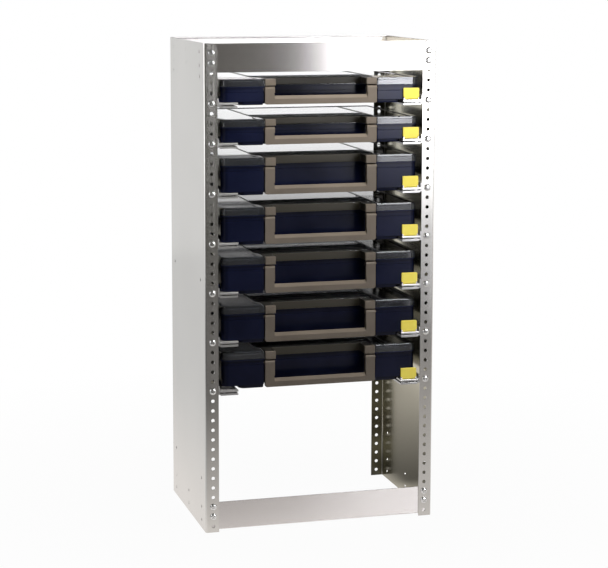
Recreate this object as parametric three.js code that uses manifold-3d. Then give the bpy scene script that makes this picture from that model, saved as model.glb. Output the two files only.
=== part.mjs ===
import * as THREE from 'three';
import { mergeVertices } from 'three/addons/utils/BufferGeometryUtils.js';
import Module from 'manifold-3d';

// Shelving rack with seven storage cases, in millimetres.
// +Z is up, +Y points to the back of the rack, and the origin is on the floor under its middle.

// Cases: two shallow ones on top, five deep ones below
const caseWidth = 413;
const caseDepth = 313.5;
const shallowCaseHeight = 52;
const deepCaseHeight = 75;
const caseStack = ['shallow', 'shallow', 'deep', 'deep', 'deep', 'deep', 'deep'];
const caseCornerRadius = 14;
const caseWall = 2.5;
const caseRimWidth = 1.5;
const caseRimHeight = 3;
const caseDrop = 6;
const caseStepGap = 2;
const caseHingeInset = 80;
const knuckleRadius = 2.5;
const knuckleLength = 22;
const lidHeight = 15;
const lidEdgeBevel = 1.5;
const lidPanelInset = 14;
const lidPanelDepth = 1.1;

// Carrying handle, its recess in the case front, and the latch above it
const handleWidth = 233;
const handleBarWidth = 20;
const handleBottomBarHeight = 17;
const handleThickness = 8;
const handleProud = 4;
const handleLift = 1;
const handleEyeRadius = 6;
const handlePinRadius = 2;
const handlePinEngagement = 2;
const handleEdgeBevel = 1;
const handleSlopeHeight = 6;
const handleSlopeDepth = 5;
const handleCornerRadius = 5;
const recessDepth = 38;
const recessSideGap = 2;
const latchBlockWidth = 22;
const shallowLatchHeight = 13;
const deepLatchHeight = 16;
const latchPlateThickness = 3;
const latchTopSet = 0.5;
const latchEdgeBevel = 1;

// Rack frame: two folded side panels, and the rails that tie them
const rackHeight = 992;
const caseSideRoom = 7.5;
const caseFrontSet = 3.5;
const caseRearRoom = 7;
const flangeWidth = 28;
const panelSheet = 2;
const panelBendRadius = 3;
const flangeCornerRadius = 13;
const holePitch = 20;
const holeRadius = 3.6;
const topHoleInset = 19;
const bottomHoleMargin = 8;
const flangeHoleInset = 16;
const sideHoleRadius = 3;
const sideColumnInset = 38;
const sideRowInset = 18;
const sideRowPitch = 27.5;
const upperPairDrop = 67.5;
const lowerPairRise = 106;
const middlePairShare = 0.52;
const railSheet = 1.5;
const railBendRadius = 2.5;
const railLip = 14;
const railEndGap = 2;
const fasciaHeight = 58.5;
const plinthHeight = 57.5;
const plinthLift = 5;

// Runner frames, screwed behind the flanges, and the pull-out trays that slide on them
const runnerWidth = 41;
const runnerSheet = 2;
const runnerRise = 1;
const runnerLip = 4;
const uprightHeight = 9;
const earWidth = 24;
const earHalfHeight = 8;
const tieWidth = 20;
const tieInset = 24;
const trayLip = 4.4;
const trayFloorGap = 1;
const trayRunnerSetback = 12;
const trayRunnerWidth = 8;
const trayWebHeight = 13;
const rowRoom = 12;
const liftedRow = 6;
const caseLift = 6;
const padWidth = 16;
const padEndInset = 25;

// Yellow case stop on the right front of each tray
const stopWidth = 33;
const stopHeight = 23.4;
const stopThickness = 4;
const stopInset = 0.5;
const stopEdgeBevel = 0.8;
const stopBarrelRadius = 2;
const lugWidth = 2;

// Clearances and mesh fineness
const fitGap = 0.3;
const slideGap = 0.5;
const cutOverrun = 5;
const bendSteps = 2;
const cornerSteps = 2;
const holeSides = 5;
const pinSides = 6;
const eyeSides = 8;
const roundSides = 24;

// Places worked out from those sizes
const openingHalf = caseWidth / 2 + caseSideRoom;
const rackHalfWidth = openingHalf + flangeWidth;
const rackDepth = caseFrontSet + caseDepth + caseRearRoom;
const frontY = -rackDepth / 2;
const backY = rackDepth / 2;
const innerFrontY = frontY + panelSheet;
const innerBackY = backY - panelSheet;
const flangeHoleX = rackHalfWidth - flangeHoleInset;
const rimFrontY = frontY + caseFrontSet;
const rimBackY = rimFrontY + caseDepth;
const bodyFrontY = rimFrontY + caseRimWidth;
const bodyBackY = rimBackY - caseRimWidth;
const bodyHalfWidth = caseWidth / 2 - caseRimWidth;
const handleFrontY = bodyFrontY - handleProud;
const handleBackY = handleFrontY + handleThickness;
const handlePivotY = handleFrontY + handleEyeRadius;
const recessHalf = handleWidth / 2 + recessSideGap;
const recessBackY = bodyFrontY + recessDepth;
const runnerInnerX = openingHalf - runnerWidth;
const uprightOuterX = openingHalf - fitGap;
const uprightInnerX = uprightOuterX - runnerSheet;
const trayOuterX = uprightInnerX - slideGap;
const trayDepthBelowTop = caseDrop + trayFloorGap;
const ledgeZ = runnerRise - trayDepthBelowTop;
const caseBottomZ = runnerRise - caseDrop;
const trayWebY = rimBackY + slideGap;
const stopBackY = bodyFrontY - slideGap;
const stopPivotY = stopBackY - stopThickness / 2;
const stopPivotZ = runnerRise + stopBarrelRadius + fitGap;
const stopLeftX = runnerInnerX + stopInset;

const wasm = await Module();
wasm.setup();

// Directions for a profile that is drawn flat and then pushed along one axis
const axisX = new THREE.Vector3(1, 0, 0);
const axisY = new THREE.Vector3(0, 1, 0);
const axisZ = new THREE.Vector3(0, 0, 1);
const profileAlongX = new THREE.Matrix4().makeBasis(axisY, axisZ, axisX);
const profileAlongY = new THREE.Matrix4().makeBasis(axisX, axisZ, axisY.clone().negate());

function toSolid(geometry) {
  const bare = geometry.clone();
  bare.deleteAttribute('normal');
  bare.deleteAttribute('uv');
  const merged = mergeVertices(bare);
  const vertProperties = new Float32Array(merged.attributes.position.array);
  const triVerts = new Uint32Array(merged.index.array);
  return new wasm.Manifold(new wasm.Mesh({ numProp: 3, vertProperties, triVerts }));
}

function toGeometry(solid) {
  const { vertProperties, triVerts } = solid.getMesh();
  const geometry = new THREE.BufferGeometry();
  geometry.setAttribute('position', new THREE.BufferAttribute(vertProperties, 3));
  geometry.setIndex(new THREE.BufferAttribute(triVerts, 1));
  geometry.computeVertexNormals();
  return geometry;
}

function ascending(first, second) {
  return first - second;
}

function joined(solids) {
  return solids.reduce((sum, solid) => sum.add(solid));
}

function cut(solid, tools) {
  return tools.reduce((rest, tool) => rest.subtract(tool), solid);
}

// A closed outline from corners [x, y, radius]; a corner with no radius stays sharp
function outline(corners, steps = bendSteps) {
  const points = [];
  corners.forEach(([x, y, radius = 0], index) => {
    const corner = new THREE.Vector2(x, y);
    if (radius <= 0) {
      points.push(corner);
      return;
    }
    const [beforeX, beforeY] = corners[(index + corners.length - 1) % corners.length];
    const [afterX, afterY] = corners[(index + 1) % corners.length];
    const toBefore = new THREE.Vector2(beforeX, beforeY).sub(corner).normalize();
    const toAfter = new THREE.Vector2(afterX, afterY).sub(corner).normalize();
    const centre = corner.clone().addScaledVector(toBefore, radius).addScaledVector(toAfter, radius);
    for (let step = 0; step <= steps; step += 1) {
      const turn = (step / steps) * (Math.PI / 2);
      const point = centre.clone();
      point.addScaledVector(toAfter, -radius * Math.cos(turn));
      point.addScaledVector(toBefore, -radius * Math.sin(turn));
      points.push(point);
    }
  });
  return new THREE.Shape(points);
}

function rectangle(left, right, low, high, radius = 0, steps = cornerSteps) {
  const corners = [[left, low, radius], [right, low, radius], [right, high, radius], [left, high, radius]];
  return outline(corners, steps);
}

function pushed(shape, from, to, bevel = 0) {
  const settings = { depth: to - from - 2 * bevel, bevelEnabled: bevel > 0 };
  Object.assign(settings, { bevelThickness: bevel, bevelSize: bevel, bevelOffset: -bevel, bevelSegments: 1 });
  return new THREE.ExtrudeGeometry(shape, settings).translate(0, 0, bevel);
}

function pushZ(shape, from, to, bevel = 0) {
  return toSolid(pushed(shape, from, to, bevel).translate(0, 0, from));
}

function pushX(shape, from, to, bevel = 0) {
  return toSolid(pushed(shape, from, to, bevel).applyMatrix4(profileAlongX).translate(from, 0, 0));
}

function pushY(shape, from, to, bevel = 0) {
  return toSolid(pushed(shape, from, to, bevel).applyMatrix4(profileAlongY).translate(0, to, 0));
}

// A plate whose front edges are bevelled and whose back is flat
function pushFacingFront(shape, front, back, bevel) {
  const whole = pushY(shape, front, back + bevel, bevel);
  const waste = block(-rackHalfWidth, rackHalfWidth, back, back + cutOverrun, -rackHeight, rackHeight);
  return whole.subtract(waste);
}

function block(left, right, front, back, low, high) {
  return pushZ(rectangle(left, right, front, back), low, high);
}

function rodX(radius, from, to, y, z, sides) {
  const rod = new THREE.CylinderGeometry(radius, radius, to - from, sides);
  return toSolid(rod.rotateZ(Math.PI / 2).translate((from + to) / 2, y, z));
}

function rodY(radius, from, to, x, z, sides) {
  const rod = new THREE.CylinderGeometry(radius, radius, to - from, sides);
  return toSolid(rod.rotateY(Math.PI / sides).translate(x, (from + to) / 2, z));
}

// Hole rows of the flanges, and the row that each case hangs on
function holeHeight(number) {
  return rackHeight - topHoleInset - holePitch * (number - 1);
}

function flangeHoleHeights() {
  const count = Math.floor((rackHeight - topHoleInset - bottomHoleMargin) / holePitch) + 1;
  return Array.from({ length: count }, (_, index) => holeHeight(index + 1));
}

function caseSizes(index) {
  const deep = caseStack[index] === 'deep';
  const lift = index === liftedRow ? caseLift : 0;
  const bottom = caseBottomZ + lift;
  const top = bottom + (deep ? deepCaseHeight : shallowCaseHeight);
  const rim = top - lidHeight;
  const latchLow = top - latchTopSet - (deep ? deepLatchHeight : shallowLatchHeight);
  return { bottom, top, rim, lift, latchLow, ledge: bottom + caseDrop, latchHigh: top - latchTopSet };
}

function rowHoles() {
  const fallBelowFascia = fasciaHeight - topHoleInset;
  let hole = 1;
  return caseStack.map((_, index) => {
    const above = index === 0 ? fallBelowFascia : runnerLip - ledgeZ;
    const needed = above + rowRoom + caseSizes(index).top - caseSizes(index).lift;
    hole += Math.ceil(needed / holePitch);
    return hole;
  });
}

// Side panel: one sheet folded into a channel, with rows of holes down both flanges
function panelProfile(side) {
  const outer = side * rackHalfWidth;
  const inner = side * (rackHalfWidth - panelSheet);
  const edge = side * openingHalf;
  const insideRadius = panelBendRadius - panelSheet;
  return outline([
    [edge, frontY],
    [outer, frontY, panelBendRadius],
    [outer, backY, panelBendRadius],
    [edge, backY],
    [edge, innerBackY],
    [inner, innerBackY, insideRadius],
    [inner, innerFrontY, insideRadius],
    [edge, innerFrontY],
  ]);
}

function flangeCornerCut(side) {
  const edge = side * openingHalf;
  const arcX = side * (openingHalf + flangeCornerRadius);
  const arcZ = rackHeight - flangeCornerRadius;
  const left = Math.min(edge - side * cutOverrun, arcX);
  const right = Math.max(edge - side * cutOverrun, arcX);
  const ends = [frontY - cutOverrun, backY + cutOverrun];
  const waste = block(left, right, ...ends, arcZ, rackHeight + cutOverrun);
  const depth = ends[1] - ends[0];
  const kept = new THREE.CylinderGeometry(flangeCornerRadius, flangeCornerRadius, depth, roundSides);
  return waste.subtract(toSolid(kept.translate(arcX, 0, arcZ)));
}

function sideFaceHoles(side) {
  const from = side > 0 ? rackHalfWidth - cutOverrun : -rackHalfWidth - cutOverrun;
  const to = from + 2 * cutOverrun;
  const outerColumns = [frontY + sideColumnInset, backY - sideColumnInset];
  const allColumns = [...outerColumns, 0];
  const nearTop = rackHeight - sideRowInset;
  const rows = [
    [allColumns, nearTop],
    [allColumns, nearTop - sideRowPitch],
    [outerColumns, rackHeight - upperPairDrop],
    [outerColumns, rackHeight * middlePairShare],
    [outerColumns, lowerPairRise],
    [allColumns, sideRowInset + sideRowPitch],
    [allColumns, sideRowInset],
  ];
  return rows.flatMap(([columns, z]) => columns.map((y) => rodX(sideHoleRadius, from, to, y, z, holeSides)));
}

function sidePanel(side) {
  const sheet = pushZ(panelProfile(side), 0, rackHeight);
  const holeX = side * flangeHoleX;
  const reach = [frontY - cutOverrun, backY + cutOverrun];
  const holes = flangeHoleHeights().map((z) => rodY(holeRadius, ...reach, holeX, z, holeSides));
  return cut(sheet, [...holes, ...sideFaceHoles(side), flangeCornerCut(side)]);
}

// Rails: a face sheet with one folded lip, screwed behind the flanges
function railProfile(face, inward, lipZ, freeZ) {
  const down = Math.sign(freeZ - lipZ);
  const insideRadius = railBendRadius - railSheet;
  return outline([
    [face, freeZ],
    [face, lipZ, railBendRadius],
    [face + inward * railLip, lipZ],
    [face + inward * railLip, lipZ + down * railSheet],
    [face + inward * railSheet, lipZ + down * railSheet, insideRadius],
    [face + inward * railSheet, freeZ],
  ]);
}

function rail(face, inward, lipZ, freeZ, holeZs) {
  const half = rackHalfWidth - panelSheet - railEndGap;
  const sheet = pushX(railProfile(face, inward, lipZ, freeZ), -half, half);
  const reach = [face - cutOverrun, face + cutOverrun];
  const xs = [-flangeHoleX, flangeHoleX];
  return cut(sheet, xs.flatMap((x) => holeZs.map((z) => rodY(holeRadius, ...reach, x, z, holeSides))));
}

function railHoles(low, high) {
  const clear = holeRadius + railBendRadius;
  return flangeHoleHeights().filter((z) => z > low + clear && z < high - clear);
}

function fascia() {
  const low = rackHeight - fasciaHeight;
  return rail(innerFrontY, 1, rackHeight, low, railHoles(low, rackHeight));
}

function backRail() {
  const low = rackHeight - fasciaHeight;
  return rail(innerBackY, -1, rackHeight, low, railHoles(low, rackHeight));
}

function plinth() {
  const high = plinthLift + plinthHeight;
  return rail(innerFrontY, 1, plinthLift, high, railHoles(plinthLift, high));
}

// Runner frame of one row: a ledge and an upright on each side, ears for the screws, a tie at the back.
// Heights are counted from the middle of the screw hole.
function runnerProfile(side) {
  const ledgeLow = ledgeZ - runnerSheet;
  const lipLow = ledgeZ - runnerLip;
  return outline([
    [side * runnerInnerX, lipLow],
    [side * (runnerInnerX + runnerSheet), lipLow],
    [side * (runnerInnerX + runnerSheet), ledgeLow],
    [side * uprightOuterX, ledgeLow],
    [side * uprightOuterX, runnerRise + uprightHeight],
    [side * uprightInnerX, runnerRise + uprightHeight],
    [side * uprightInnerX, ledgeZ],
    [side * runnerInnerX, ledgeZ],
  ]);
}

function runnerSide(side) {
  const length = pushY(runnerProfile(side), frontY + slideGap, backY - slideGap);
  const halfSheet = runnerSheet / 2;
  const lipEnds = [side * (uprightOuterX - runnerLip), side * (runnerInnerX + halfSheet)].sort(ascending);
  const lipDepth = [frontY + slideGap, frontY + slideGap + runnerSheet];
  const frontLip = block(...lipEnds, ...lipDepth, ledgeZ - runnerLip, ledgeZ - halfSheet);
  const earFronts = [innerFrontY, innerBackY - runnerSheet];
  const earEnds = [side * (uprightInnerX + halfSheet), side * (uprightInnerX + earWidth)].sort(ascending);
  const earPlates = earFronts.map((front) => {
    return block(...earEnds, front, front + runnerSheet, -earHalfHeight, earHalfHeight);
  });
  return joined([length, frontLip, ...earPlates]);
}

function runnerFrame() {
  const tieBack = backY - tieInset;
  const reach = runnerInnerX + runnerSheet / 2;
  const tieTop = ledgeZ - runnerSheet / 2;
  const tie = block(-reach, reach, tieBack - tieWidth, tieBack, tieTop - runnerSheet, tieTop);
  return joined([runnerSide(-1), runnerSide(1), tie]);
}

// Pull-out tray of one row: two lipped plates, their running strips, a rear web and the lugs of the stop
function trayPlateProfile(side) {
  const plateLow = runnerRise - runnerSheet;
  return outline([
    [side * runnerInnerX, runnerRise - trayLip],
    [side * runnerInnerX, runnerRise],
    [side * trayOuterX, runnerRise],
    [side * trayOuterX, plateLow],
    [side * (runnerInnerX + runnerSheet), plateLow],
    [side * (runnerInnerX + runnerSheet), runnerRise - trayLip],
  ]);
}

function traySide(side) {
  const end = trayWebY + runnerSheet;
  const plate = pushY(trayPlateProfile(side), frontY, end);
  const lipEnds = [side * runnerInnerX, side * trayOuterX].sort(ascending);
  const frontLip = block(...lipEnds, frontY, frontY + runnerSheet, runnerRise - trayLip, runnerRise);
  const runnerEnds = [side * (trayOuterX - trayRunnerWidth), side * trayOuterX].sort(ascending);
  const runner = block(...runnerEnds, frontY + trayRunnerSetback, end, ledgeZ, runnerRise);
  return joined([plate, frontLip, runner]);
}

function rearWeb() {
  const outerY = trayWebY + runnerSheet;
  const shape = outline([
    [bodyBackY + slideGap, runnerRise - runnerSheet],
    [outerY, runnerRise - runnerSheet],
    [outerY, runnerRise + trayWebHeight],
    [trayWebY, runnerRise + trayWebHeight],
    [trayWebY, runnerRise],
    [bodyBackY + slideGap, runnerRise],
  ]);
  return pushX(shape, -trayOuterX, trayOuterX);
}

function stopLug(left) {
  const reach = stopBarrelRadius + slideGap;
  const top = stopPivotZ + reach;
  const shape = outline([
    [stopPivotY - reach, runnerRise],
    [stopPivotY + reach, runnerRise],
    [stopPivotY + reach, top, reach],
    [stopPivotY - reach, top, reach],
  ], 1);
  return pushX(shape, left, left + lugWidth);
}

function liftingPad(side) {
  const middle = (runnerInnerX + trayOuterX) / 2;
  const edges = [side * middle - padWidth / 2, side * middle + padWidth / 2];
  const ends = [rimFrontY + padEndInset, rimBackY - padEndInset];
  return block(...edges, ...ends, runnerRise - runnerSheet / 2, runnerRise + caseLift);
}

function tray(index) {
  const lugs = [stopLug(stopLeftX), stopLug(stopLeftX + stopWidth - lugWidth)];
  const pads = caseSizes(index).lift > 0 ? [liftingPad(-1), liftingPad(1)] : [];
  return joined([traySide(-1), traySide(1), rearWeb(), ...lugs, ...pads]);
}

// Case stop: a bevelled plate on a neck, with a barrel between the lugs of the tray
function caseStop() {
  const right = stopLeftX + stopWidth;
  const neck = lugWidth + fitGap;
  const bladeLow = stopPivotZ + stopBarrelRadius + slideGap + fitGap;
  const top = runnerRise + stopHeight;
  const face = outline([
    [stopLeftX, bladeLow],
    [stopLeftX + neck, bladeLow],
    [stopLeftX + neck, stopPivotZ],
    [right - neck, stopPivotZ],
    [right - neck, bladeLow],
    [right, bladeLow],
    [right, top],
    [stopLeftX, top],
  ]);
  const blade = pushFacingFront(face, stopBackY - stopThickness, stopBackY, stopEdgeBevel);
  const ends = [stopLeftX + neck, right - neck];
  return blade.add(rodX(stopBarrelRadius, ...ends, stopPivotY, stopPivotZ, pinSides));
}

// Case base: a thin-walled tray, narrower below the runners, with the recess for the handle at its front
function caseOutline(inset, halfWidth, front, back, steps) {
  const radius = caseCornerRadius - inset;
  return rectangle(-halfWidth + inset, halfWidth - inset, front + inset, back - inset, radius, steps);
}

function recessBlock(grow, low, high) {
  const half = recessHalf + grow;
  return block(-half, half, rimFrontY - cutOverrun, recessBackY + grow, low, high);
}

function caseShell(inset, sizes, floor, roof, steps) {
  const keelHalf = runnerInnerX - caseStepGap;
  const ends = [bodyFrontY, bodyBackY];
  const main = pushZ(caseOutline(inset, bodyHalfWidth, ...ends, steps), sizes.ledge + floor, roof);
  const keel = pushZ(caseOutline(inset, keelHalf, ...ends, 1), sizes.bottom + floor, roof);
  return main.add(keel);
}

// Hinge knuckles of one half: each is a six-sided barrel drawn in one profile with the leaf that carries it
function hingeKnuckles(z, leafEdge, outward) {
  const y = rimBackY + fitGap + knuckleRadius;
  const towards = Math.sign(leafEdge - z);
  const shape = outline([
    [bodyBackY, leafEdge],
    [y + knuckleRadius / 2, leafEdge],
    [y + knuckleRadius, z],
    [y + knuckleRadius / 2, z - towards * knuckleRadius],
    [y - knuckleRadius / 2, z - towards * knuckleRadius],
    [y - knuckleRadius, z],
  ]);
  return [-1, 1].map((side) => {
    const near = side * (caseWidth / 2 - caseHingeInset);
    const far = near + outward * side * knuckleLength;
    return pushX(shape, ...[near, far].sort(ascending));
  });
}

function caseBase(index) {
  const sizes = caseSizes(index);
  const over = sizes.rim + cutOverrun;
  const rimShape = caseOutline(0, caseWidth / 2, rimFrontY, rimBackY, cornerSteps);
  const rimBand = pushZ(rimShape, sizes.rim - caseRimHeight, sizes.rim);
  const knuckles = hingeKnuckles(sizes.rim, sizes.rim - caseRimHeight, 1);
  const shell = caseShell(0, sizes, 0, sizes.rim - caseRimHeight / 2, cornerSteps);
  const outer = joined([shell, rimBand, ...knuckles]);
  const recessWalls = recessBlock(caseWall, sizes.bottom, over);
  const inner = caseShell(caseWall, sizes, caseWall, over, 1).subtract(recessWalls);
  const recess = recessBlock(0, sizes.bottom - cutOverrun, over);
  const pivotZ = handleTop(sizes) - handleEyeRadius;
  const reach = recessHalf + caseWall + fitGap;
  const pinHole = rodX(handlePinRadius + fitGap, -reach, reach, handlePivotY, pivotZ, pinSides);
  return cut(outer, [inner, recess, pinHole]);
}

// Lid: a shallow cover notched over the recess, with a sunk panel in its top
function lidOutline(inset, steps) {
  const left = -caseWidth / 2 + inset;
  const right = caseWidth / 2 - inset;
  const front = rimFrontY + inset;
  const notch = recessHalf + inset;
  const notchY = recessBackY + inset;
  const radius = caseCornerRadius - inset;
  return outline([
    [left, front, radius],
    [-notch, front],
    [-notch, notchY],
    [notch, notchY],
    [notch, front],
    [right, front, radius],
    [right, rimBackY - inset, radius],
    [left, rimBackY - inset, radius],
  ], steps);
}

function caseLid(index) {
  const { rim, top } = caseSizes(index);
  const cover = pushZ(lidOutline(0, cornerSteps), rim - lidEdgeBevel, top, lidEdgeBevel);
  const below = block(-caseWidth, caseWidth, frontY - caseDepth, backY + caseDepth, rim - cutOverrun, rim);
  const hollow = pushZ(lidOutline(caseWall, 1), rim - cutOverrun, top - caseWall);
  const panel = pushZ(lidOutline(lidPanelInset, 1), top - lidPanelDepth, top + cutOverrun);
  return joined([cut(cover, [below, hollow, panel]), ...hingeKnuckles(rim, rim + caseRimHeight, -1)]);
}

// Latch: a plate at the back of the notch that joins two corner blocks
function caseLatch(index) {
  const { latchLow, latchHigh } = caseSizes(index);
  const half = handleWidth / 2;
  const plateFront = recessBackY - latchPlateThickness;
  const plan = outline([
    [-half, handleFrontY, latchEdgeBevel],
    [-half + latchBlockWidth, handleFrontY, latchEdgeBevel],
    [-half + latchBlockWidth, plateFront],
    [half - latchBlockWidth, plateFront],
    [half - latchBlockWidth, handleFrontY, latchEdgeBevel],
    [half, handleFrontY, latchEdgeBevel],
    [half, recessBackY],
    [-half, recessBackY],
  ], 1);
  return pushZ(plan, latchLow, latchHigh);
}

// Handle: a U of flat bars that hangs on two pins at the tops of its side bars
function handleTop(sizes) {
  return sizes.latchLow - handleLift;
}

function caseHandle(index) {
  const sizes = caseSizes(index);
  const low = sizes.bottom + handleLift;
  const pivotZ = handleTop(sizes) - handleEyeRadius;
  const half = handleWidth / 2;
  const barInner = half - handleBarWidth;
  const barTop = low + handleBottomBarHeight;
  const face = outline([
    [-half, pivotZ],
    [-half, low, handleCornerRadius],
    [half, low, handleCornerRadius],
    [half, pivotZ],
    [barInner, pivotZ],
    [barInner, barTop, handleCornerRadius],
    [-barInner, barTop, handleCornerRadius],
    [-barInner, pivotZ],
  ], 1);
  const ring = pushFacingFront(face, handleFrontY, handleBackY, handleEdgeBevel);
  const slope = new THREE.Shape([
    new THREE.Vector2(handleFrontY - cutOverrun, barTop + cutOverrun),
    new THREE.Vector2(handleFrontY - cutOverrun, barTop - handleSlopeHeight),
    new THREE.Vector2(handleFrontY, barTop - handleSlopeHeight),
    new THREE.Vector2(handleFrontY + handleSlopeDepth, barTop),
    new THREE.Vector2(handleFrontY + handleSlopeDepth, barTop + cutOverrun),
  ]);
  const sloped = ring.subtract(pushX(slope, -barInner, barInner));
  const eyes = [-half, barInner].map((x) => {
    return rodX(handleEyeRadius, x, x + handleBarWidth, handlePivotY, pivotZ, eyeSides);
  });
  const pinReach = half + recessSideGap + handlePinEngagement;
  const pinRoot = (half + barInner) / 2;
  const pins = [[-pinReach, -pinRoot], [pinRoot, pinReach]].map(([from, to]) => {
    return rodX(handlePinRadius, from, to, handlePivotY, pivotZ, pinSides);
  });
  return joined([sloped, ...eyes, ...pins]);
}

// Materials
const looks = {
  sheetMetal: { color: 0xc3c0bb, roughness: 0.42, metalness: 0.85 },
  zincSteel: { color: 0xb4b2b0, roughness: 0.35, metalness: 0.9 },
  navyPlastic: { color: 0x161a33, roughness: 0.4, metalness: 0 },
  clearPlastic: { color: 0x8d93a6, roughness: 0.12, metalness: 0 },
  taupePlastic: { color: 0x7d7264, roughness: 0.5, metalness: 0 },
  yellowPlastic: { color: 0xf3df52, roughness: 0.45, metalness: 0 },
};

function piece(name, solid, look, z = 0) {
  const mesh = new THREE.Mesh(toGeometry(solid), new THREE.MeshStandardMaterial(looks[look]));
  mesh.name = name;
  mesh.position.z = z;
  return mesh;
}

function rackFrame() {
  const frame = new THREE.Group();
  frame.add(piece('side_panel_left', sidePanel(-1), 'sheetMetal'));
  frame.add(piece('side_panel_right', sidePanel(1), 'sheetMetal'));
  frame.add(piece('top_fascia', fascia(), 'sheetMetal'));
  frame.add(piece('top_back_rail', backRail(), 'sheetMetal'));
  frame.add(piece('bottom_plinth', plinth(), 'sheetMetal'));
  return frame;
}

function caseRow(index, hole) {
  const z = holeHeight(hole);
  const number = index + 1;
  const row = new THREE.Group();
  row.add(piece(`runner_frame_${number}`, runnerFrame(), 'zincSteel', z));
  row.add(piece(`tray_${number}`, tray(index), 'zincSteel', z));
  row.add(piece(`case_stop_${number}`, caseStop(), 'yellowPlastic', z));
  row.add(piece(`case_base_${number}`, caseBase(index), 'navyPlastic', z));
  row.add(piece(`case_lid_${number}`, caseLid(index), 'clearPlastic', z));
  row.add(piece(`case_latch_${number}`, caseLatch(index), 'taupePlastic', z));
  row.add(piece(`case_handle_${number}`, caseHandle(index), 'taupePlastic', z));
  return row;
}

const rack = new THREE.Group();
rack.add(rackFrame());
rowHoles().forEach((hole, index) => rack.add(caseRow(index, hole)));

export default rack;
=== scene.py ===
import math

import bmesh
import bpy
from mathutils import Matrix, Vector


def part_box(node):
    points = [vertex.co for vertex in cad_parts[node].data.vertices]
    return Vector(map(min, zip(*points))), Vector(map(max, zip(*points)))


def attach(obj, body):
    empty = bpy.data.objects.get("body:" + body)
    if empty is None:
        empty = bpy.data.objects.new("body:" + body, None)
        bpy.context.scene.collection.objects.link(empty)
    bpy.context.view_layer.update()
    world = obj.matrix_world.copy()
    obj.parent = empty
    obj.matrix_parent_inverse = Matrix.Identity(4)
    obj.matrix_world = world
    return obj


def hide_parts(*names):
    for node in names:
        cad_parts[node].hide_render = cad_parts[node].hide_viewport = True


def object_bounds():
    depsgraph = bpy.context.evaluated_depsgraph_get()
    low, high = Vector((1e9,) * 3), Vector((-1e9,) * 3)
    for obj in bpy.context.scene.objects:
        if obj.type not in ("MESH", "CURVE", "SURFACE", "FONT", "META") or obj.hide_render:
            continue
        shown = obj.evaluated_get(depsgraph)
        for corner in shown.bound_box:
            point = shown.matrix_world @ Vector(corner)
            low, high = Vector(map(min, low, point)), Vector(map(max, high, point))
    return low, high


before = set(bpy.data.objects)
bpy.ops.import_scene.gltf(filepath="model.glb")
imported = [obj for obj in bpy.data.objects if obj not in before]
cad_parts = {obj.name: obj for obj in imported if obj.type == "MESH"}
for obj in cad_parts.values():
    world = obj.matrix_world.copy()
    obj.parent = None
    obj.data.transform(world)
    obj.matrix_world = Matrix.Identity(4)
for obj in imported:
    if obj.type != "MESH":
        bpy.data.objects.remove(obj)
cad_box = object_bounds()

# Looks of a shelving rack with seven storage cases. All sizes are in metres.
mm = 0.001

# Rack sheets
sheet_thickness = 2 * mm
rail_thickness = 1.5 * mm
panel_bend = 4 * mm
rail_bend = 2.5 * mm
flange_corner = 13 * mm
hole_pitch = 20 * mm
hole_radius = 3.6 * mm
first_hole_drop = 19 * mm
hole_margin = 8 * mm
hole_inset = 16 * mm
face_hole_radius = 3 * mm
face_column_inset = 38 * mm
face_row_inset = 18 * mm
face_row_pitch = 27.5 * mm
upper_pair_drop = 67.5 * mm
lower_pair_rise = 106 * mm
middle_pair_share = 0.52
rail_lip = 14 * mm
rail_bend_steps = 6
corner_steps = 8
bend_steps = 8
hole_sides = 28
weld_distance = 0.01 * mm
sheet_edge = 0.2 * mm
sheet_edge_angle = 60
smooth_angle = 32
moulded_angle = 40
handle_angle = 28
wall_weight = 100
bend_lean = 0.12
facing_share = 0.9
bend_reach = 0.1 * mm

# Runner frames and trays
runner_width = 41 * mm
ledge_drop = 6 * mm
tray_rise = 1 * mm
tray_lip = 4.4 * mm
ledge_lip = 4 * mm
upright_height = 9 * mm
ear_half_height = 8 * mm
tie_width = 20 * mm
tie_inset = 24 * mm
tie_step = 1 * mm
strip_width = 8 * mm
strip_setback = 12 * mm
web_height = 13 * mm
fold_radius = 1.2 * mm
fold_steps = 4
formed_edge = 0.25 * mm
formed_edge_angle = 50
upright_gap = 0.5 * mm
front_fold_drop = 0.2 * mm
front_lip_drop = 0.05 * mm
ear_setback = 1.5 * mm
ear_corner = 2 * mm
strip_sink = 0.1 * mm
web_foot = 3 * mm
web_corner = 0.6 * mm
lug_width = 2 * mm
lug_half = 2.5 * mm
lug_height = 4.8 * mm
lug_corner = 2.3 * mm
lug_steps = 6
tray_sink = 0.5 * mm
pad_half = 8 * mm
pad_front = 28 * mm
pad_back = 27 * mm
least_pad = 1 * mm
# How much painted shade the undersides of the runners and trays get
underside_shade_share = 0.85

# Case stops
stop_neck = 2.3 * mm
stop_edge = 0.7 * mm
barrel_radius = 2 * mm
barrel_sides = 20
blade_rise = 2.8 * mm
blade_foot_corner = 0.6 * mm
blade_corner = 1.6 * mm

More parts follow.
